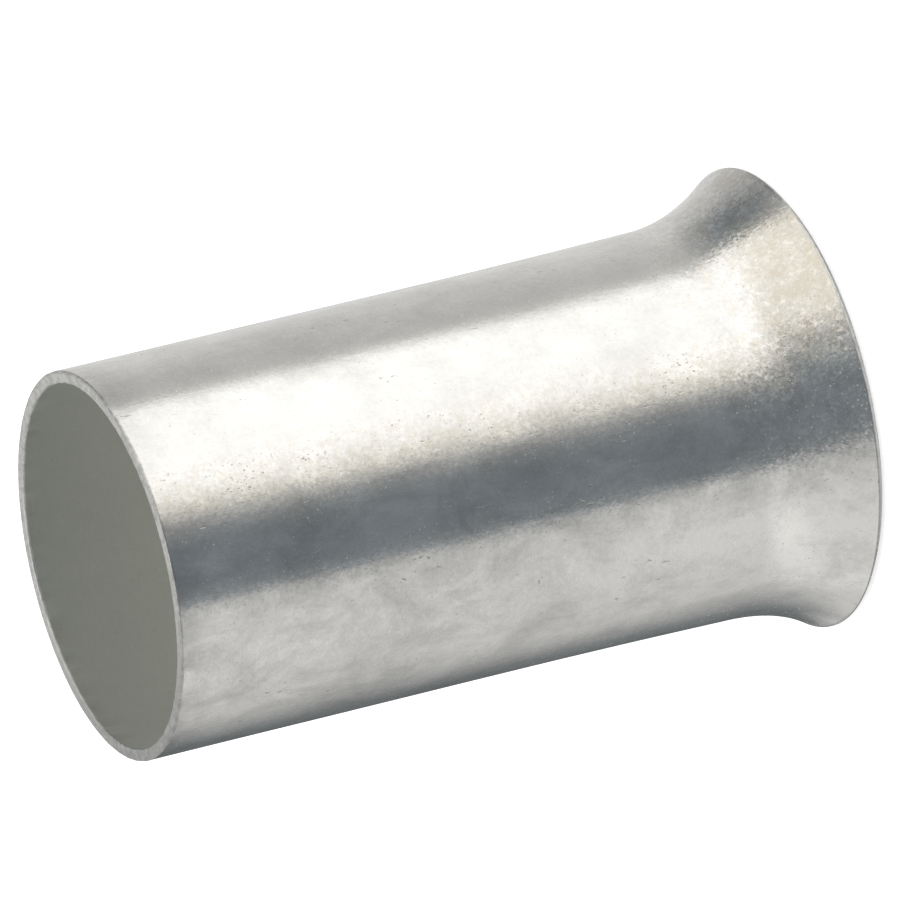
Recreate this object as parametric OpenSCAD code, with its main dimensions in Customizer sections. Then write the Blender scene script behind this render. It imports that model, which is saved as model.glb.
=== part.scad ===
// Wire ferrule: a short thin-walled copper tube, tin plated and open at both ends.
// One end is cut square. The other is flared to a bell mouth that guides the strands in.
// The part stands on its mouth: Z = 0 is the lowest line of the rim, and +Z runs to the cut end.
// All sizes are in millimetres.

/* [Barrel] */
// Inside diameter of the straight barrel
bore_d = 5.9; // [5.5:0.1:6.5]
// Thickness of the tube wall, the same all the way along
wall_t = 0.2; // [0.15:0.01:0.3]
// Overall length, from the rim of the mouth to the cut end
sleeve_len = 11.95; // [8:0.05:25]

/* [Mouth] */
// How far the rim stands out beyond the barrel, all round
flare_out = 0.7; // [0.3:0.05:0.9]
// Radius of the bend from barrel to rim, on the outside of the wall
bend_r = 3.1; // [2.5:0.1:5]

/* [Edges] */
// Rounding of the wall's four edges, two at each end
edge_r = 0.03; // [0.02:0.01:0.06]

/* [Hidden] */
// Radii of the barrel, inside and outside
bore_r = bore_d / 2;
barrel_r = bore_r + wall_t;
// The bend's centre lies outside the tube, so the inside of the wall has the larger radius
inner_bend_r = bend_r + wall_t;
// Distances of the rim's two rounded edges from the bend's centre, and the angles they take up there
outer_edge_at = bend_r + edge_r;
inner_edge_at = inner_bend_r - edge_r;
outer_edge_angle = asin(edge_r / outer_edge_at);
inner_edge_angle = asin(edge_r / inner_edge_at);
// How far the wall has turned away from the axis where it ends
flare_angle = acos(1 - flare_out / outer_edge_at) + outer_edge_angle;
// Centre of the bend. Its height puts the lowest line of the rim on Z = 0
bend_x = barrel_r + bend_r;
bend_z = edge_r + inner_edge_at * sin(flare_angle - inner_edge_angle);
// Segments in a full circle, and flats on each rounded edge of the rim
$fn = 180;
edge_flats = 5;

// Point at a distance from a centre, in a direction given as an angle
function point_at(centre, distance, angle) = centre + distance * [cos(angle), sin(angle)];

// Corners of the flats that touch a rounded edge, between two directions seen from its centre
function edge_corners(centre, first, last) =
    let (turn = (last - first) / edge_flats)
    [for (i = [0 : edge_flats]) point_at(centre, edge_r / cos(turn / 2), first + i * turn)];

// Half section of the bell mouth, drawn round the bend's centre.
// The wall ends square to its own surface, as it was cut before it was flared
module mouth_section() {
    level = 180;
    end_face = flare_angle - 90;
    outer_edge = point_at([0, 0], outer_edge_at, level + flare_angle - outer_edge_angle);
    inner_edge = point_at([0, 0], inner_edge_at, level + flare_angle - inner_edge_angle);
    difference() {
        intersection() {
            circle(inner_bend_r);
            polygon(concat(
                [[0, 0], point_at([0, 0], 2 * inner_bend_r, level)],
                edge_corners(inner_edge, flare_angle - inner_edge_angle - 180, end_face),
                edge_corners(outer_edge, end_face, flare_angle - outer_edge_angle)
            ));
        }
        circle(bend_r);
    }
}

// Rectangle given by where its sides lie
module rectangle(left, right, bottom, top) {
    polygon([[left, bottom], [right, bottom], [right, top], [left, top]]);
}

// Half section of the straight barrel, from the bend up to the cut end and its two rounded edges
module barrel_section() {
    edge_z = sleeve_len - edge_r;
    rectangle(bore_r, barrel_r, bend_z, edge_z);
    rectangle(bore_r + edge_r, barrel_r - edge_r, bend_z, sleeve_len);
    for (x = [bore_r + edge_r, barrel_r - edge_r])
        translate([x, edge_z]) circle(edge_r);
}

// The whole ferrule: one tube, flared at its foot
module ferrule_sleeve() {
    color("#b9bab6") rotate_extrude() {
        barrel_section();
        translate([bend_x, bend_z]) mouth_section();
    }
}

ferrule_sleeve();
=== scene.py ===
# %% [markdown]
# # A wire ferrule in tinned copper
# A wire ferrule is a short copper tube that is crimped over the bare end of a
# stranded wire. One end is cut square. The other is rolled outwards into a small
# mouth, so that no strand is left outside. The tube is plated with tin, which
# gives it its soft, slightly cloudy grey shine.
#
# There is one piece to make, and its shape is simple, so most of the work is in
# the finish and in what the metal has to reflect.

# %% Load the frame
import math

import bpy
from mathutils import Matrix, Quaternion, Vector


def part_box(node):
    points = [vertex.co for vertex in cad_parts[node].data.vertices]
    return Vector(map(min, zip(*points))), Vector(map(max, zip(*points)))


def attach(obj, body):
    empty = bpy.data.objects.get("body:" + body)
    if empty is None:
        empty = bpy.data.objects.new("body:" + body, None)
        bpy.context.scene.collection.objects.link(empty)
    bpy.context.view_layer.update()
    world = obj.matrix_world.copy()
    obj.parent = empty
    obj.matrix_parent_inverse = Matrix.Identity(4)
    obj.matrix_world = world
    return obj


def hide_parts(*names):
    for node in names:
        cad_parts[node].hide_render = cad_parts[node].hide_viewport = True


MM = 0.001

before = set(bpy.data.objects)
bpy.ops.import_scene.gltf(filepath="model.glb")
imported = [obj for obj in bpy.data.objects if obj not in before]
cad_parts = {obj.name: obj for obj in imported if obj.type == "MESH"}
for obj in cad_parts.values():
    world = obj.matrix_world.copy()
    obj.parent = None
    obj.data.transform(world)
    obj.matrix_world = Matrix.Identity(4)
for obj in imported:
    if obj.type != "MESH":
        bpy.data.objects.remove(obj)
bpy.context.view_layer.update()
low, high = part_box("ferrule_sleeve")
print(f"sleeve in the frame: {(high.x - low.x) / MM:.2f} mm across the mouth,",
      f"{(high.z - low.z) / MM:.2f} mm tall")

# %% [markdown]
# ## The camera
# The ferrule stands on its mouth. The camera looks down on it a little, from far
# away through a long lens, as is usual for small parts, and it is rolled over on
# its side, so that the tube lies across the picture.
#
# The camera could be placed by hand. A height angle, a roll, a distance and a lens
# say the same thing in a way that can be read and changed later.

# %% Place the camera
CAMERA_ELEVATION = math.radians(21.4)
CAMERA_ROLL = math.radians(-103.57)
CAMERA_DISTANCE = 0.2863
CAMERA_LENS = 723.0
CAMERA_AIM = Vector((0.485 * MM, 0.0, 5.73 * MM))

camera = bpy.data.objects.new("camera", bpy.data.cameras.new("camera"))
bpy.context.scene.collection.objects.link(camera)
bpy.context.scene.camera = camera
backwards = Vector((0.0, -math.cos(CAMERA_ELEVATION), math.sin(CAMERA_ELEVATION)))
level = (-backwards).to_track_quat("-Z", "Y")
camera.rotation_mode = "QUATERNION"
camera.rotation_quaternion = level @ Quaternion((0, 0, 1), CAMERA_ROLL)
camera.location = CAMERA_AIM + backwards * CAMERA_DISTANCE
camera.data.lens = CAMERA_LENS
camera.data.sensor_width = 36.0
camera.data.clip_start = 0.01
camera.data.clip_end = 5.0
print("camera at", [round(x / MM, 1) for x in camera.location], "mm")

# %% [markdown]
# ## The section
# A tube like this is the same all the way round, so its whole shape is in one
# section: the line that a saw would show if it cut the wall lengthwise. It runs up
# the outside, over the square cut, down the bore and round the lip of the mouth.
#
# The section could be drawn by hand as points. Here it is put together from
# straight lines and arcs, because that is how the real wall is formed: the barrel
# is straight, the mouth is one bend of constant radius, and each edge is eased.

# %% Sizes of the section
BARREL_RADIUS = 3.15 * MM
WALL = 0.2 * MM
BEND_RADIUS = 3.05 * MM  # on the outside of the wall
MOUTH_RADIUS = 3.765 * MM
EDGE_RADIUS = 0.03 * MM
SWELL = 0.037 * MM  # how much the barrel has grown where the bend starts
SWELL_LENGTH = 4.2 * MM
HEIGHT = high.z

bore_radius = BARREL_RADIUS - WALL
flare_angle = math.acos(1 - (MOUTH_RADIUS - BARREL_RADIUS - SWELL) / BEND_RADIUS)
# the bend turns round a point outside the tube. The lip's eased edge is its lowest line
bend_x = BARREL_RADIUS + SWELL + BEND_RADIUS
bend_z = (BEND_RADIUS + WALL) * math.sin(flare_angle) - 0.1 * EDGE_RADIUS
print(f"the mouth opens by {math.degrees(flare_angle):.1f} degrees,",
      f"and its bend starts {bend_z / MM:.2f} mm above the floor")

# %% Arcs and lines
# the surfaces of the wall, as numbers that the finish can read later
OUTSIDE, EDGE, CUT, INSIDE = 0.0, 0.5, 1.0, 2.0


def arc(centre, radius, start, end, steps, part):
    """Points on an arc, each with the number of the surface that it belongs to."""
    points = []
    for i in range(steps + 1):
        angle = start + (end - start) * i / steps
        points.append((centre[0] + radius * math.cos(angle),
                       centre[1] + radius * math.sin(angle), part))
    return points


def line(start, end, steps, part):
    """Points on a straight line, without its two ends."""
    return [(start[0] + (end[0] - start[0]) * i / steps,
             start[1] + (end[1] - start[1]) * i / steps, part)
            for i in range(1, steps)]


def swelled(points):
    """The barrel grows towards the bend, where the tool has pushed it outwards."""
    grown = []
    for x, z, part in points:
        share = min(1.0, max(0.0, (bend_z + SWELL_LENGTH - z) / SWELL_LENGTH))
        grown.append((x + SWELL * share ** 2, z, part))
    return grown


# %% Draw the outside and the cut end
EDGE_STEPS = 4
EDGE_HOLD = 0.02 * MM  # a point just below an eased edge keeps its shading narrow

quarter = math.pi / 2
flared = math.pi + flare_angle - EDGE_RADIUS / BEND_RADIUS
bend_centre = (bend_x, bend_z)
top = HEIGHT - EDGE_RADIUS
outer_edge = BARREL_RADIUS - EDGE_RADIUS
inner_edge = bore_radius + EDGE_RADIUS

section = arc(bend_centre, BEND_RADIUS, flared, math.pi, 30, OUTSIDE)
section += swelled(line((BARREL_RADIUS, bend_z), (BARREL_RADIUS, top), 48, OUTSIDE))
section += [(BARREL_RADIUS, top - EDGE_HOLD, OUTSIDE)]
section += arc((outer_edge, top), EDGE_RADIUS, 0, quarter, EDGE_STEPS, EDGE)
section += line((outer_edge, HEIGHT), (inner_edge, HEIGHT), 6, CUT)
section += arc((inner_edge, top), EDGE_RADIUS, quarter, 2 * quarter, EDGE_STEPS, CUT)
print("points from the lip to the bore:", len(section))

# %% Draw the bore and the lip
section += [(bore_radius, top - EDGE_HOLD, INSIDE)]
section += swelled(line((bore_radius, top), (bore_radius, bend_z), 32, INSIDE))
section += arc(bend_centre, BEND_RADIUS + WALL, math.pi, flared, 24, INSIDE)


def lip_point(depth, inwards):
    """A point on the lip: depth below the outer surface, inwards from the end face."""
    radius = BEND_RADIUS + depth
    angle = flare_angle - inwards / radius
    return bend_x - radius * math.cos(angle), bend_z - radius * math.sin(angle)


# round the inner edge, over the end face and round the outer edge
turns = [quarter * k / EDGE_STEPS for k in range(1, EDGE_STEPS)]
lip = [(WALL - EDGE_RADIUS * (1 - math.cos(turn)), EDGE_RADIUS * (1 - math.sin(turn)))
       for turn in turns]
lip += [(EDGE_RADIUS + (WALL - 2 * EDGE_RADIUS) * (1 - k / EDGE_STEPS), 0.0)
        for k in range(EDGE_STEPS + 1)]
lip += [(EDGE_RADIUS * (1 - math.sin(turn)), EDGE_RADIUS * (1 - math.cos(turn)))
        for turn in turns]
section += [(*lip_point(depth, inwards), CUT) for depth, inwards in lip]
print("points all the way round:", len(section))

# %% Make the section a mesh
# it lies flat, with its origin on the barrel, ready to be carried along a circle
section_mesh = bpy.data.meshes.new("section")
section_mesh.from_pydata(
    [(x - BARREL_RADIUS, -z, 0.0) for x, z, part in section],
    [(i, (i + 1) % len(section)) for i in range(len(section))], [])
part_of = section_mesh.attributes.new("part", "FLOAT", "POINT")
part_of.data.foreach_set("value", [part for x, z, part in section])
sleeve_source = bpy.data.objects.new("sleeve_source", section_mesh)
bpy.context.scene.collection.objects.link(sleeve_source)
print("the section is a closed loop of", len(section_mesh.edges), "edges")

# %% [markdown]
# ## The sleeve
# The section is carried once round the axis. The Screw modifier could do that, but
# the real sleeve isn't perfect: the rolled mouth sits a little to one side, the
# wall is slightly wavy, and the cut leaves a fine burr. Geometry Nodes carry the
# section round and add these three things, each with an input of its own.

# %% Helpers for node trees
def new_node(tree, kind, values=None, **settings):
    """Adds a node, sets its settings, and sets or links its inputs by name or number."""
    made = tree.nodes.new(kind)
    for key, value in settings.items():
        setattr(made, key, value)
    for key, value in (values or {}).items():
        if isinstance(value, bpy.types.NodeSocket):
            tree.links.new(value, made.inputs[key])
        else:
            made.inputs[key].default_value = value
    return made


def maths(tree, operation, *values):
    """A Math node on sockets or numbers."""
    return new_node(tree, "ShaderNodeMath", dict(enumerate(values)),
                    operation=operation).outputs[0]


def vector_maths(tree, operation, vector, other=None):
    """A Vector Math node on one vector, and on a second vector or a scale."""
    values = {0: vector}
    if other is not None:
        values["Scale" if operation == "SCALE" else 1] = other
    return new_node(tree, "ShaderNodeVectorMath", values, operation=operation).outputs[0]


def remap(tree, value, from_low, from_high, to_low=0.0, to_high=1.0, soft=True):
    """A Map Range node, with soft ends or in a straight line."""
    return new_node(tree, "ShaderNodeMapRange",
                    {"Value": value, "From Min": from_low, "From Max": from_high,
                     "To Min": to_low, "To Max": to_high},
                    interpolation_type="SMOOTHSTEP" if soft else "LINEAR").outputs[0]


# %% The tree and its inputs
sleeve_tree = bpy.data.node_groups.new("sleeve", "GeometryNodeTree")
socket_of = {}
for name, kind in (("Section", "NodeSocketGeometry"), ("Steps round", "NodeSocketInt"),
                   ("Barrel radius", "NodeSocketFloat"), ("Bend height", "NodeSocketFloat"),
                   ("Mouth shift", "NodeSocketVector"), ("Waviness", "NodeSocketFloat"),
                   ("Burr", "NodeSocketFloat"), ("Seed", "NodeSocketFloat")):
    socket = sleeve_tree.interface.new_socket(name, in_out="INPUT", socket_type=kind)
    socket_of[name] = socket.identifier
sleeve_tree.interface.new_socket("Sleeve", in_out="OUTPUT", socket_type="NodeSocketGeometry")
given = sleeve_tree.nodes.new("NodeGroupInput").outputs
print("the tree asks for:", ", ".join(socket_of))

# %% Carry the section round
circle = new_node(sleeve_tree, "GeometryNodeCurvePrimitiveCircle",
                  {"Resolution": given["Steps round"], "Radius": given["Barrel radius"]})
profile = new_node(sleeve_tree, "GeometryNodeMeshToCurve", {"Mesh": given["Section"]})
swept = new_node(sleeve_tree, "GeometryNodeCurveToMesh",
                 {"Curve": circle.outputs["Curve"],
                  "Profile Curve": profile.outputs["Curve"]})
print("nodes that carry it round:", len(sleeve_tree.nodes) - 1)

# %% Push the mouth to one side
point = sleeve_tree.nodes.new("GeometryNodeInputPosition").outputs[0]
point_z = new_node(sleeve_tree, "ShaderNodeSeparateXYZ", {0: point}).outputs["Z"]
mouth_share = remap(sleeve_tree, point_z, given["Bend height"], 0.0)
shift = vector_maths(sleeve_tree, "SCALE", given["Mouth shift"], mouth_share)
print("nodes with the mouth's shift:", len(sleeve_tree.nodes) - 1)

# %% Waves that keep the wall's thickness
# the bore and the outside read the noise at the same place, on the barrel's skin
flat = vector_maths(sleeve_tree, "MULTIPLY", point, (1, 1, 0))
outward = vector_maths(sleeve_tree, "NORMALIZE", flat)
around = vector_maths(sleeve_tree, "SCALE", outward, given["Barrel radius"])
upward = vector_maths(sleeve_tree, "MULTIPLY", point, (0, 0, 1))
skin = vector_maths(sleeve_tree, "ADD", around, upward)


def skin_noise(scale, detail):
    """A noise on the barrel's skin, from about -0.5 to 0.5."""
    values = {"Vector": skin, "W": given["Seed"], "Scale": scale, "Detail": detail}
    pattern = new_node(sleeve_tree, "ShaderNodeTexNoise", values, noise_dimensions="4D")
    return maths(sleeve_tree, "SUBTRACT", pattern.outputs[0], 0.5)


wave = maths(sleeve_tree, "MULTIPLY", skin_noise(0.33 / MM, 1.0), given["Waviness"])
print("nodes with the waves:", len(sleeve_tree.nodes) - 1)

# %% A burr on the cut end
# the lip of the mouth has the cut's number too, so the burr also asks for a height
part = new_node(sleeve_tree, "GeometryNodeInputNamedAttribute", {"Name": "part"},
                data_type="FLOAT").outputs[0]
from_cut = maths(sleeve_tree, "ABSOLUTE", maths(sleeve_tree, "SUBTRACT", part, CUT))
on_cut = remap(sleeve_tree, from_cut, 0.9, 0.0, soft=False)
above_mouth = maths(sleeve_tree, "MULTIPLY", given["Bend height"], 2.0)
at_top = maths(sleeve_tree, "GREATER_THAN", point_z, above_mouth)
burr = maths(sleeve_tree, "MULTIPLY", skin_noise(7 / MM, 2.0), given["Burr"])
burr = maths(sleeve_tree, "MULTIPLY", maths(sleeve_tree, "MULTIPLY", burr, on_cut), at_top)
print("nodes with the burr:", len(sleeve_tree.nodes) - 1)

# %% Move the points and close the tree
tin = bpy.data.materials.new("tinned_copper")

bumps = vector_maths(sleeve_tree, "SCALE", outward, maths(sleeve_tree, "ADD", wave, burr))
moved = new_node(sleeve_tree, "GeometryNodeSetPosition",
                 {"Geometry": swept.outputs["Mesh"],
                  "Offset": vector_maths(sleeve_tree, "ADD", shift, bumps)})
smooth = new_node(sleeve_tree, "GeometryNodeSetShadeSmooth",
                  {"Geometry": moved.outputs["Geometry"]})
realized = new_node(sleeve_tree, "GeometryNodeRealizeInstances",
                    {"Geometry": smooth.outputs[0]})
finished = new_node(sleeve_tree, "GeometryNodeSetMaterial",
                    {"Geometry": realized.outputs[0], "Material": tin})
tree_end = sleeve_tree.nodes.new("NodeGroupOutput")
sleeve_tree.links.new(finished.outputs[0], tree_end.inputs[0])
print("the whole tree has", len(sleeve_tree.nodes), "nodes")

# %% [markdown]
# ## The tin plating
# Tin is a soft white metal. Straight from the bath it is satin, not mirror bright:
# it has a fine grain, cloudy patches, and places that were rubbed or worked later.
#
# An image could be wrapped round the tube, but it would show a seam and blur close
# up. All of it is drawn with procedural textures on Object coordinates instead, in
# millimetres, so each pattern has the size that it has on the real sleeve.

# %% Patterns in millimetres
tin.use_nodes = True
tin_tree = tin.node_tree
tin_tree.nodes.clear()
object_place = tin_tree.nodes.new("ShaderNodeTexCoord").outputs["Object"]


def pattern_space(stretch):
    """Object coordinates in millimetres, squeezed along each axis."""
    return new_node(tin_tree, "ShaderNodeMapping",
                    {"Vector": object_place, "Scale": [s / MM for s in stretch]}).outputs[0]


def noise(space, per_mm, detail=2.0, roughness=0.5, distortion=0.0):
    return new_node(tin_tree, "ShaderNodeTexNoise",
                    {"Vector": space, "Scale": per_mm, "Detail": detail,
                     "Roughness": roughness, "Distortion": distortion}).outputs["Fac"]


def cells(space, per_mm):
    """Small cells, each with a colour of its own and the distance from its middle."""
    return new_node(tin_tree, "ShaderNodeTexVoronoi",
                    {"Vector": space, "Scale": per_mm}).outputs


even = pattern_space((1, 1, 1))
place = new_node(tin_tree, "ShaderNodeSeparateXYZ", {0: even}).outputs
print("the finish starts with", len(tin_tree.nodes), "nodes")


# %% Sums on patterns
def ramp(value, low_value, high_value, low_out=0.0, high_out=1.0):
    """Maps a pattern to a range of its own, with soft ends."""
    return remap(tin_tree, value, low_value, high_value, low_out, high_out)


def straight(value, low_value, high_value, low_out=0.0, high_out=1.0):
    """Maps a pattern to a range of its own in a straight line."""
    return remap(tin_tree, value, low_value, high_value, low_out, high_out, soft=False)


def times(*values):
    total = values[0]
    for value in values[1:]:
        total = maths(tin_tree, "MULTIPLY", total, value)
    return total


def plus(*values):
    total = values[0]
    for value in values[1:]:
        total = maths(tin_tree, "ADD", total, value)
    return total


def minus(value, other):
    return maths(tin_tree, "SUBTRACT", value, other)


def away_from(value, middle):
    """How far a pattern is from a value, whichever way."""
    return maths(tin_tree, "ABSOLUTE", minus(value, middle))


# %% Where each finish lies
# the four surfaces, from the number stored on each point
part = new_node(tin_tree, "ShaderNodeAttribute", attribute_name="part").outputs["Fac"]
is_bore = ramp(part, CUT, INSIDE)
is_cut = ramp(away_from(part, CUT), 0.9, 0.1)
is_edge = ramp(away_from(part, EDGE), 0.45, 0.1)
# the mouth was worked by the tool, and one side of it came out grainy
is_worked = ramp(place["Z"], 3.0, 0.9)
is_grainy = times(is_worked, ramp(place["X"], -1.8, -0.3))
# one side was rubbed, and a strip next to it was knocked
is_rubbed = ramp(place["X"], 1.1, 0.2)
is_knocked = ramp(away_from(place["X"], 0.85), 0.55, 0.15)
print("nodes with the masks:", len(tin_tree.nodes))

# %% Clouds, strokes and grain
cloud = noise(even, 0.55)
mottle = noise(even, 1.1, 5.0, 0.95)
swirl = noise(pattern_space((1, 1, 0.6)), 1.3, 5.0, 0.72, 0.5)
grain = noise(even, 12.0, 2.0, 0.7)
strokes = noise(pattern_space((0.3, 0.3, 1)), 15.0, 2.0, 0.6)
streak = noise(pattern_space((1, 1, 0.08)), 7.0)
crystal = cells(even, 21.0)["Color"]
print("nodes with the clouds and the grain:", len(tin_tree.nodes))

# %% [markdown]
# ## Pits, specks and hairlines
# Small parts are plated and sorted loose in a drum, where they knock against one
# another. That leaves small pits in patches, dull specks where the tin has grown in
# grains, and a few hairline scratches.
#
# They could be modelled, but they are only a few thousandths of a millimetre deep.
# A noise that is cut off high up gives pits, the cells of a Voronoi texture give
# specks that never join, and a smooth noise gives a thin curved line where it
# crosses its middle value.

# %% Pits
dent = times(ramp(noise(pattern_space((1, 1, 0.5)), 13.0, 1.0, 0.6), 0.67, 0.76),
             ramp(noise(even, 1.3), 0.54, 0.64), ramp(place["Z"], 2.2, 3.8))
knock = times(ramp(noise(even, 19.0, 1.0, 0.6), 0.62, 0.76),
              ramp(noise(even, 1.1, 1.0), 0.46, 0.58), is_knocked)
pit = times(maths(tin_tree, "MAXIMUM", dent, knock), ramp(is_bore, 1.0, 0.0))
print("nodes with the pits:", len(tin_tree.nodes))

# %% Specks
dots = cells(even, 12.0)
dot_number = new_node(tin_tree, "ShaderNodeSeparateColor", {0: dots["Color"]}).outputs["Red"]
in_patches = ramp(noise(even, 1.7, 3.0, 0.7), 0.42, 0.60, 0.15, 0.75)
speck = times(ramp(dots["Distance"], 0.24, 0.10), ramp(dot_number, 0.35, 0.65),
              plus(in_patches, times(is_worked, is_rubbed, 0.75)))
print("nodes with the specks:", len(tin_tree.nodes))


# %% Hairlines
def hairlines(per_mm, stretch, width):
    """Thin curved lines, where a smooth pattern crosses its middle value."""
    pattern = noise(pattern_space(stretch), per_mm, 1.0, 0.4)
    return times(ramp(away_from(pattern, 0.5), width, 0.0),
                 ramp(noise(even, 0.8, 1.0), 0.52, 0.58))


scratch = plus(hairlines(1.5, (1, 1, 0.2), 0.005), hairlines(0.7, (1, 1, 0.5), 0.0025))
print("nodes with the hairlines:", len(tin_tree.nodes))

# %% [markdown]
# ## Colour
# Tin is nearly white, but never one white: thick and thin plating, light tarnish and
# handling make clouds of paler and duller metal. The mouth was rolled after plating,
# so it is warmer and grainier there. The cut end and the bore are duller. Some light
# and shade is painted in too: a paler flank by the mouth, a darker band below the cut
# end, a dark line on the cut's edge and paler tin deep in the bore.
#
# Painted maps would show a seam somewhere. Here each colour is mixed in by a mask
# that depends only on the place on the sleeve, so there is no seam to hide.

# %% Colours of tin
PALE_TIN = (0.905, 0.89, 0.853, 1)
DULL_TIN = (0.605, 0.598, 0.573, 1)
WARM_TIN = (0.66, 0.605, 0.52, 1)
PIT_COLOUR = (0.36, 0.35, 0.31, 1)
# painted shade: the colour of the dark line painted on the cut's edge
EDGE_PAINTED_SHADE = (0.26, 0.26, 0.25, 1)
BORE_TIN = (0.40, 0.41, 0.385, 1)
# painted light: the paler colour painted deep in the bore
BORE_PAINTED_LIGHT = (0.74, 0.75, 0.70, 1)
CUT_METAL = (0.74, 0.735, 0.71, 1)
CUT_SHADE = (0.56, 0.56, 0.54, 1)
CUT_DARK_SIDE = (0.40, 0.41, 0.39, 1)


def mix_colour(factor, first, second):
    return new_node(tin_tree, "ShaderNodeMix", {0: factor, 6: first, 7: second},
                    data_type="RGBA").outputs[2]


print("palest tin:", PALE_TIN[:3], "and deepest bore:", BORE_PAINTED_LIGHT[:3])

# %% Pale and dull clouds on the outside
contrast = ramp(is_rubbed, 0.0, 1.0, 0.9, 2.4)
clouds = plus(0.5, times(minus(mottle, 0.5), times(contrast, 0.5)),
              times(minus(swirl, 0.5), contrast), straight(cloud, 0.3, 0.7, -0.12, 0.12))
# painted light: the -X flank near the mouth is painted paler, to brighten the light that it
# reflects
painted_light_flank = times(ramp(place["Z"], 7.0, 4.0), ramp(place["X"], -0.7, -2.0), 0.35)
# painted shade: a band just below the cut end is painted darker, as the rounded end would
# shade it
painted_shade_at_end = times(ramp(place["Z"], 11.2, 11.95), -0.3)
crystals = times(straight(crystal, 0.2, 0.8, -0.06, 0.06), ramp(is_grainy, 0.0, 1.0, 0.7, 2.2))
pale_grains = times(ramp(noise(even, 9.0, 2.0, 0.6), 0.56, 0.68), is_grainy, 0.5)
tone = plus(clouds, painted_light_flank, painted_shade_at_end, crystals, pale_grains)
colour = mix_colour(tone, DULL_TIN, PALE_TIN)
print("nodes with the clouds' colour:", len(tin_tree.nodes))

# %% Warm patches and dark pits
warm_mouth = times(ramp(noise(even, 2.6, 4.0, 0.85), 0.44, 0.60), is_worked,
                   ramp(place["X"], 0.3, 1.6), 0.5)
warm_strip = times(ramp(noise(even, 7.0, 3.0, 0.8), 0.42, 0.62), is_knocked, 0.45)
colour = mix_colour(plus(warm_mouth, warm_strip), colour, WARM_TIN)
colour = mix_colour(times(pit, 0.6), colour, PIT_COLOUR)
print("nodes with the warm patches:", len(tin_tree.nodes))

# %% The bore, the cut end and its edge
# painted light: less light gets deep into the bore, so the tin there is painted paler, which
# keeps the bore an even grey
bore = mix_colour(straight(place["Z"], 9.4, 12.0), BORE_PAINTED_LIGHT, BORE_TIN)
colour = mix_colour(is_bore, colour, bore)
# the cut face is darker towards -X, with a grainy border between
cut = mix_colour(ramp(plus(place["X"], times(grain, 1.5)), 0.6, -2.4), CUT_METAL, CUT_DARK_SIDE)
cut = mix_colour(ramp(noise(even, 9.0, 3.0, 0.7), 0.40, 0.64), cut, CUT_SHADE)
colour = mix_colour(is_cut, colour, cut)
# painted shade: a broken dark line is painted along the cut's eased edge, where the rounded
# edge would reflect something dark
painted_edge_shade = times(is_edge, ramp(noise(even, 8.0, 2.0, 0.7), 0.36, 0.62, 0.15, 0.5))
colour = mix_colour(painted_edge_shade, colour, EDGE_PAINTED_SHADE)
print("nodes with all colours:", len(tin_tree.nodes))

# %% [markdown]
# ## Roughness and grain
# How sharply a metal reflects says more about it than its colour. Satin tin blurs a
# little, specks and pits blur more, and each crystal of the plating leans its own
# small way, which breaks up the edge of a highlight into grains.
#
# A bump map alone makes that edge wavy. A small tilt for each cell, added to the
# normal, makes it granular, as it is on real tin.

# %% Roughness
satin = plus(straight(mottle, 0.3, 0.7, 0.27, 0.15), straight(strokes, 0.3, 0.7, -0.03, 0.03),
             times(speck, 0.40), times(scratch, 0.08), times(pit, 0.15),
             times(is_bore, 0.55), times(is_cut, 0.25))
print("nodes with the roughness:", len(tin_tree.nodes))

# %% Grain
RELIEF = 0.003 * MM
relief = plus(times(grain, ramp(is_grainy, 0.0, 1.0, 0.5, 1.1)), times(streak, 0.3),
              times(pit, -0.6))
bump = new_node(tin_tree, "ShaderNodeBump",
                {"Height": relief, "Strength": 1.0, "Distance": RELIEF}).outputs["Normal"]
lean = plus(0.016, times(is_grainy, 0.034), times(is_knocked, 0.022))
tilt = vector_maths(tin_tree, "SUBTRACT", crystal, (0.5, 0.5, 0.5))
tilt = vector_maths(tin_tree, "SCALE", tilt, lean)
facets = vector_maths(tin_tree, "NORMALIZE", vector_maths(tin_tree, "ADD", bump, tilt))
print("nodes with the grain:", len(tin_tree.nodes))

# %% The finish as a whole
metal = new_node(tin_tree, "ShaderNodeBsdfPrincipled",
                 {"Base Color": colour, "Metallic": ramp(is_bore, 0.0, 1.0, 1.0, 0.7),
                  "Roughness": satin, "Normal": facets})
tin_end = tin_tree.nodes.new("ShaderNodeOutputMaterial")
tin_tree.links.new(metal.outputs[0], tin_end.inputs["Surface"])
print("the whole finish has", len(tin_tree.nodes), "nodes")

# %% [markdown]
# ## From the section to the sleeve
# The tree gets its sizes and its finish, and what it makes is kept as a plain mesh.
# A plain mesh is what an exporter or another program can read, and it can be
# measured: the volume shows whether the faces point outwards.

# %% Run the tree
modifier = sleeve_source.modifiers.new("sleeve", "NODES")
modifier.node_group = sleeve_tree
for name, value in (("Steps round", 480), ("Barrel radius", BARREL_RADIUS),
                    ("Bend height", bend_z), ("Mouth shift", (0.08 * MM, -0.05 * MM, 0.0)),
                    ("Waviness", 0.009 * MM), ("Burr", 0.05 * MM), ("Seed", 4.0)):
    modifier[socket_of[name]] = value
evaluated = sleeve_source.evaluated_get(bpy.context.evaluated_depsgraph_get())
sleeve = bpy.data.objects.new("tinned_sleeve", bpy.data.meshes.new_from_object(evaluated))
bpy.context.scene.collection.objects.link(sleeve)
sleeve_source.modifiers.remove(modifier)
bpy.data.objects.remove(sleeve_source)
print("the sleeve has", len(sleeve.data.vertices), "points")


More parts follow.
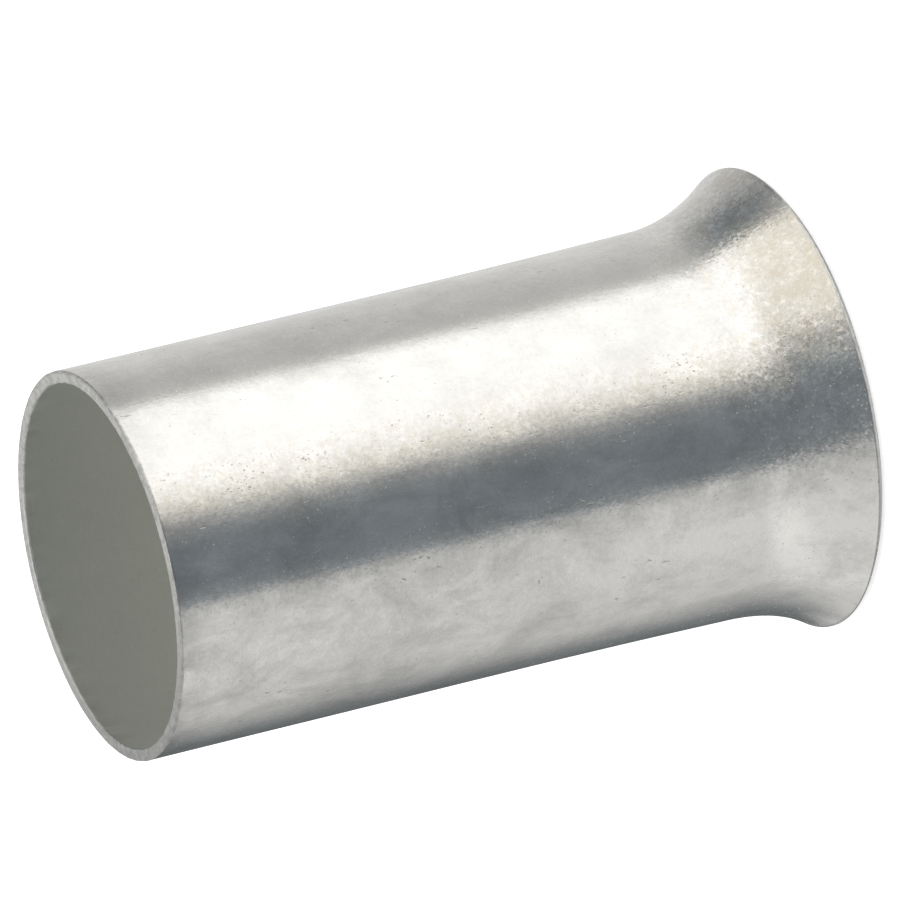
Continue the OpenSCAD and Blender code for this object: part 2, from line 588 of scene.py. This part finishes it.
# %% Turn the faces outwards
def enclosed_volume(mesh):
    """The volume inside the faces. It is negative where they face inwards."""
    mesh.calc_loop_triangles()
    total = 0.0
    for triangle in mesh.loop_triangles:
        a, b, c = (mesh.vertices[i].co for i in triangle.vertices)
        total += a.dot(b.cross(c))
    return total / 6


volume = enclosed_volume(sleeve.data)
if volume < 0:
    sleeve.data.flip_normals()
print(f"{len(sleeve.data.loop_triangles)} triangles,",
      f"{abs(volume) / MM ** 3:.1f} mm3 of metal")

# %% Put the sleeve in the solid's place
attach(sleeve, "root")
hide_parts("ferrule_sleeve")
print(sleeve.name, "stands for the solid sleeve")

# %% [markdown]
# ## What the metal reflects
# A metal gives off no light of its own: it shows what stands round it. A product
# studio puts a large softbox on one side, a black flag in front that draws the dark
# line along a bright tube, and grey cards that keep the other side from going black.
#
# Lamps alone would leave hard spots on the tube. Panels that glow, each with its own
# level at its four corners, give it broad reflections with soft ends. Only the softbox
# also lights the floor.

# %% A material that glows
panel_glow = bpy.data.materials.new("panel_glow")
panel_glow.use_nodes = True
glow_tree = panel_glow.node_tree
glow_tree.nodes.clear()
stored = new_node(glow_tree, "ShaderNodeAttribute", attribute_name="glow").outputs["Color"]
shine = new_node(glow_tree, "ShaderNodeEmission", {"Color": stored, "Strength": 1.0})
glow_end = glow_tree.nodes.new("ShaderNodeOutputMaterial")
glow_tree.links.new(shine.outputs[0], glow_end.inputs["Surface"])
print("the panels glow with the colour stored on their points")

# %% Bend a panel round the sleeve
PANEL_DISTANCE = 0.25
PANEL_COLUMNS, PANEL_ROWS = 24, 8


def between(first, last, share):
    return first + (last - first) * share


def bent_sheet(name, bottom, top, rise, colours, ease):
    """A sheet of points that turn round the axis, with a glow mixed from its corners."""
    points, glow = [], []
    for i in range(PANEL_COLUMNS + 1):
        across = i / PANEL_COLUMNS
        eased = 1.0 - (1.0 - across) ** ease
        for k in range(PANEL_ROWS + 1):
            up = k / PANEL_ROWS
            turn = math.radians(between(between(*bottom, across), between(*top, across), up))
            height = math.radians(between(*rise, up))
            points.append((-PANEL_DISTANCE * math.sin(turn), -PANEL_DISTANCE * math.cos(turn),
                           PANEL_DISTANCE * math.tan(height)))
            glow += [between(between(a, b, eased), between(c, d, eased), up)
                     for a, b, c, d in zip(*colours)] + [1.0]
    step = PANEL_ROWS + 1
    faces = [(i * step + k, (i + 1) * step + k, (i + 1) * step + k + 1, i * step + k + 1)
             for i in range(PANEL_COLUMNS) for k in range(PANEL_ROWS)]
    mesh = bpy.data.meshes.new(name)
    mesh.from_pydata(points, [], faces)
    mesh.attributes.new("glow", "FLOAT_COLOR", "POINT").data.foreach_set("color", glow)
    return mesh


# %% Hang a panel
panels = []


def panel(name, bottom, top, rise, colours, lights=False, ease=1.0):
    """A panel bent round the sleeve, seen from its middle.

    bottom and top say from where to where the panel turns, in degrees from the front
    towards -X. rise says how low and how high it reaches, in degrees. colours are at
    the two bottom corners, then at the two top corners. With ease above 1 the colour
    changes fast at first and then slower.
    """
    mesh = bent_sheet(name, bottom, top, rise, colours, ease)
    mesh.materials.append(panel_glow)
    made = bpy.data.objects.new(name, mesh)
    bpy.context.scene.collection.objects.link(made)
    made.visible_camera = False
    made.visible_transmission = False
    if not lights:
        made.visible_diffuse = False
        made.visible_shadow = False
    panels.append(made)


def grey(level, tint=(1, 1, 1)):
    return tuple(level * t for t in tint)


def plain(colour):
    """The same colour at all four corners."""
    return (colour, colour, colour, colour)


def turning(first_colour, last_colour):
    """One colour on each side."""
    return (first_colour, last_colour, first_colour, last_colour)


def rising(low_colour, high_colour):
    """One colour below and one above."""
    return (low_colour, low_colour, high_colour, high_colour)


COOL = (0.875, 1.0, 1.11)
WARM = (1.03, 1.0, 0.925)
SHADE = (0.92, 1.0, 1.05)
# heights between rows of panels: the barrel shows the lowest row, the bend the middle
# one and the rim the highest
BOTTOM, MIDDLE, UPPER, TOP = -60, 1, 14, 60
BARREL_ROW, BEND_ROW, RIM_ROW = (BOTTOM, MIDDLE), (MIDDLE, UPPER), (UPPER, TOP)
print("tints of the panels:", COOL, WARM, SHADE)

# %% The softbox, with a warm edge on both sides
panel("softbox_rim", (-87, -82), (-98, -93), BARREL_ROW, turning(grey(0.85, WARM), grey(1.25)))
panel("softbox", (-82, -34), (-93, -34), BARREL_ROW, plain(grey(1.38)), lights=True)
panel("softbox_fade", (-34, -21), (-34, -21), BARREL_ROW,
      turning(grey(1.38), grey(0.97, WARM)))
panel("edge_warm", (-21, -14), (-21, -14), BARREL_ROW, turning(grey(0.97, WARM), grey(0.43)))
panel("edge_cool", (-14, 4), (-14, 4), BARREL_ROW,
      turning(grey(0.43), grey(0.215, COOL)), ease=2.4)
panel("high_rim", (-98, -93), (-100, -95), BEND_ROW, turning(grey(0.85, WARM), grey(1.2)))
panel("softbox_high", (-93, -34), (-95, -40), BEND_ROW,
      (grey(1.40), grey(1.42), grey(1.10, WARM), grey(0.84, WARM)))
panel("fade_high", (-34, 0), (-40, -8), BEND_ROW,
      (grey(1.40), grey(0.24), grey(0.90, WARM), grey(0.235)), ease=1.2)
print("panels so far:", len(panels))

# %% The warm wall over it, and the black flag in front
panel("warm_wall", (-100, -40), (-100, -36), RIM_ROW,
      turning(grey(1.02, WARM), grey(1.06, WARM)))
panel("wall_edge", (-40, -8), (-36, -4), RIM_ROW,
      (grey(0.90, WARM), grey(0.23, COOL), grey(0.72), grey(0.22, COOL)), ease=1.5)
panel("flag_low", (4, 41), (4, 33), BARREL_ROW, plain(grey(0.222, COOL)))
panel("flag_middle", (0, 33), (-8, 33), BEND_ROW, plain(grey(0.215, COOL)))
panel("flag_high", (-8, 33), (-4, 33), RIM_ROW, plain(grey(0.215, COOL)))
print("panels so far:", len(panels))

# %% Grey cards on the side
panel("card_low", (41, 118), (36, 118), (BOTTOM, -21), turning(grey(0.635), grey(0.57)))
panel("card_rise", (36, 75), (35, 75), (-21, -14),
      (grey(0.65), grey(0.62), grey(0.72), grey(0.90)))
panel("card_rise_side", (75, 118), (75, 118), (-21, -14),
      (grey(0.61), grey(0.56), grey(0.90), grey(0.66)))
panel("card_start", (35, 75), (33, 75), (-14, MIDDLE),
      (grey(0.72), grey(0.90), grey(0.66), grey(0.79)))
panel("card_side", (75, 118), (75, 118), (-14, MIDDLE),
      (grey(0.90), grey(0.66), grey(0.79), grey(0.74)))
panel("card_high", (33, 118), (33, 118), (MIDDLE, TOP),
      (grey(0.67), grey(0.75), grey(0.58), grey(0.66)))
print("panels so far:", len(panels))

# %% Cards that fall off towards the back
panel("card_down", (118, 180), (118, 180), (BOTTOM, -27), turning(grey(0.62), grey(0.80)))
panel("card_end", (118, 148), (118, 148), (-27, -8),
      (grey(0.55), grey(0.18, SHADE), grey(0.60), grey(0.22, SHADE)))
panel("card_end_high", (118, 148), (118, 148), (-8, 2),
      (grey(0.60), grey(0.22, SHADE), grey(0.62), grey(0.47)))
panel("dark_end", (148, 180), (148, 180), (-27, -14),
      turning(grey(0.19, SHADE), grey(0.10, SHADE)))
panel("dark_rise", (148, 180), (148, 180), (-14, -5),
      (grey(0.18, SHADE), grey(0.12, SHADE), grey(0.50), grey(0.85)))
panel("card_back_low", (148, 180), (148, 180), (-5, 2), turning(grey(0.60), grey(0.85)))
panel("card_back", (118, 180), (118, 180), (2, TOP), turning(grey(0.58), grey(0.66)))
print("panels so far:", len(panels))

# %% Cards behind the softbox
panel("back_down", (-180, -87), (-180, -92), (BOTTOM, -33), turning(grey(0.30), grey(0.5)))
panel("back_low", (-180, -92), (-180, -94.6), (-33, -18), turning(grey(0.86), grey(0.57)))
panel("back_side_low", (-180, -138), (-180, -136), (-18, MIDDLE),
      (grey(0.85), grey(0.70), grey(0.70), grey(0.52)))
panel("back_side", (-180, -136), (-180, -136), (MIDDLE, 28),
      (grey(0.70), grey(0.52), grey(0.72), grey(0.62)))
panel("back_fade_low", (-138, -122), (-136, -120), (-18, MIDDLE),
      (grey(0.70), grey(0.56), grey(0.50), grey(0.24, COOL)))
panel("back_fade", (-136, -120), (-136, -120), (MIDDLE, 28),
      (grey(0.50), grey(0.24, COOL), grey(0.60), grey(0.42)))
panel("back_patch_low", (-122, -94.6), (-120, -98), (-18, MIDDLE),
      (grey(0.56), grey(0.50), grey(0.22, COOL), grey(0.22, COOL)))
panel("back_patch", (-120, -98), (-120, -100), BEND_ROW, plain(grey(0.20, COOL)))
panel("back_patch_high", (-120, -100), (-120, -100), (UPPER, 28),
      rising(grey(0.22, COOL), grey(0.42)))
panel("back_high", (-180, -100), (-180, -100), (28, TOP), turning(grey(0.72), grey(0.60)))
print("panels in all:", len(panels))

# %% [markdown]
# ## The floor
# The ferrule stands on white paper. A matte white sheet under soft light renders pale
# grey, so it also shines a little, but only where the camera sees it. That brightens
# the background, leaves the light on the metal alone and keeps the shadow.

# %% White paper
PAPER_COLOUR = (0.85, 0.85, 0.85, 1)
PAPER_SHINE = 0.55

paper = bpy.data.materials.new("white_paper")
paper.use_nodes = True
paper_tree = paper.node_tree
paper_tree.nodes.clear()
matte = new_node(paper_tree, "ShaderNodeBsdfDiffuse", {"Color": PAPER_COLOUR})
seen = paper_tree.nodes.new("ShaderNodeLightPath").outputs["Is Camera Ray"]
shine = new_node(paper_tree, "ShaderNodeEmission",
                 {"Strength": maths(paper_tree, "MULTIPLY", seen, PAPER_SHINE)})
both = new_node(paper_tree, "ShaderNodeAddShader", {0: matte.outputs[0], 1: shine.outputs[0]})
paper_end = paper_tree.nodes.new("ShaderNodeOutputMaterial")
paper_tree.links.new(both.outputs[0], paper_end.inputs["Surface"])
print("the paper reflects", PAPER_COLOUR[0], "and shines", PAPER_SHINE)

# %% Lay the floor
FLOOR_REACH = 3.0

floor_mesh = bpy.data.meshes.new("floor")
floor_mesh.from_pydata([(-FLOOR_REACH, -FLOOR_REACH, 0), (FLOOR_REACH, -FLOOR_REACH, 0),
                        (FLOOR_REACH, FLOOR_REACH, 0), (-FLOOR_REACH, FLOOR_REACH, 0)],
                       [], [(0, 1, 2, 3)])
floor_mesh.materials.append(paper)
floor = bpy.data.objects.new("floor", floor_mesh)
bpy.context.scene.collection.objects.link(floor)
floor.visible_glossy = False
print("the floor is", 2 * FLOOR_REACH, "m wide")

# %% [markdown]
# ## The room
# The rest of the light comes from all sides, as in a white room. Lamps could fill in
# as much, but a plain white world does it evenly. Its strength is one, so a colour
# renders about as it is written.

# %% The room
world = bpy.data.worlds.new("room")
bpy.context.scene.world = world
world.use_nodes = True
room_tree = world.node_tree
room_tree.nodes.clear()
sky = new_node(room_tree, "ShaderNodeBackground", {"Color": (1, 1, 1, 1), "Strength": 1.0})
room_end = room_tree.nodes.new("ShaderNodeOutputWorld")
room_tree.links.new(sky.outputs[0], room_end.inputs[0])

bpy.context.scene.view_settings.view_transform = "Standard"
print("the room shines with a strength of", sky.inputs["Strength"].default_value)
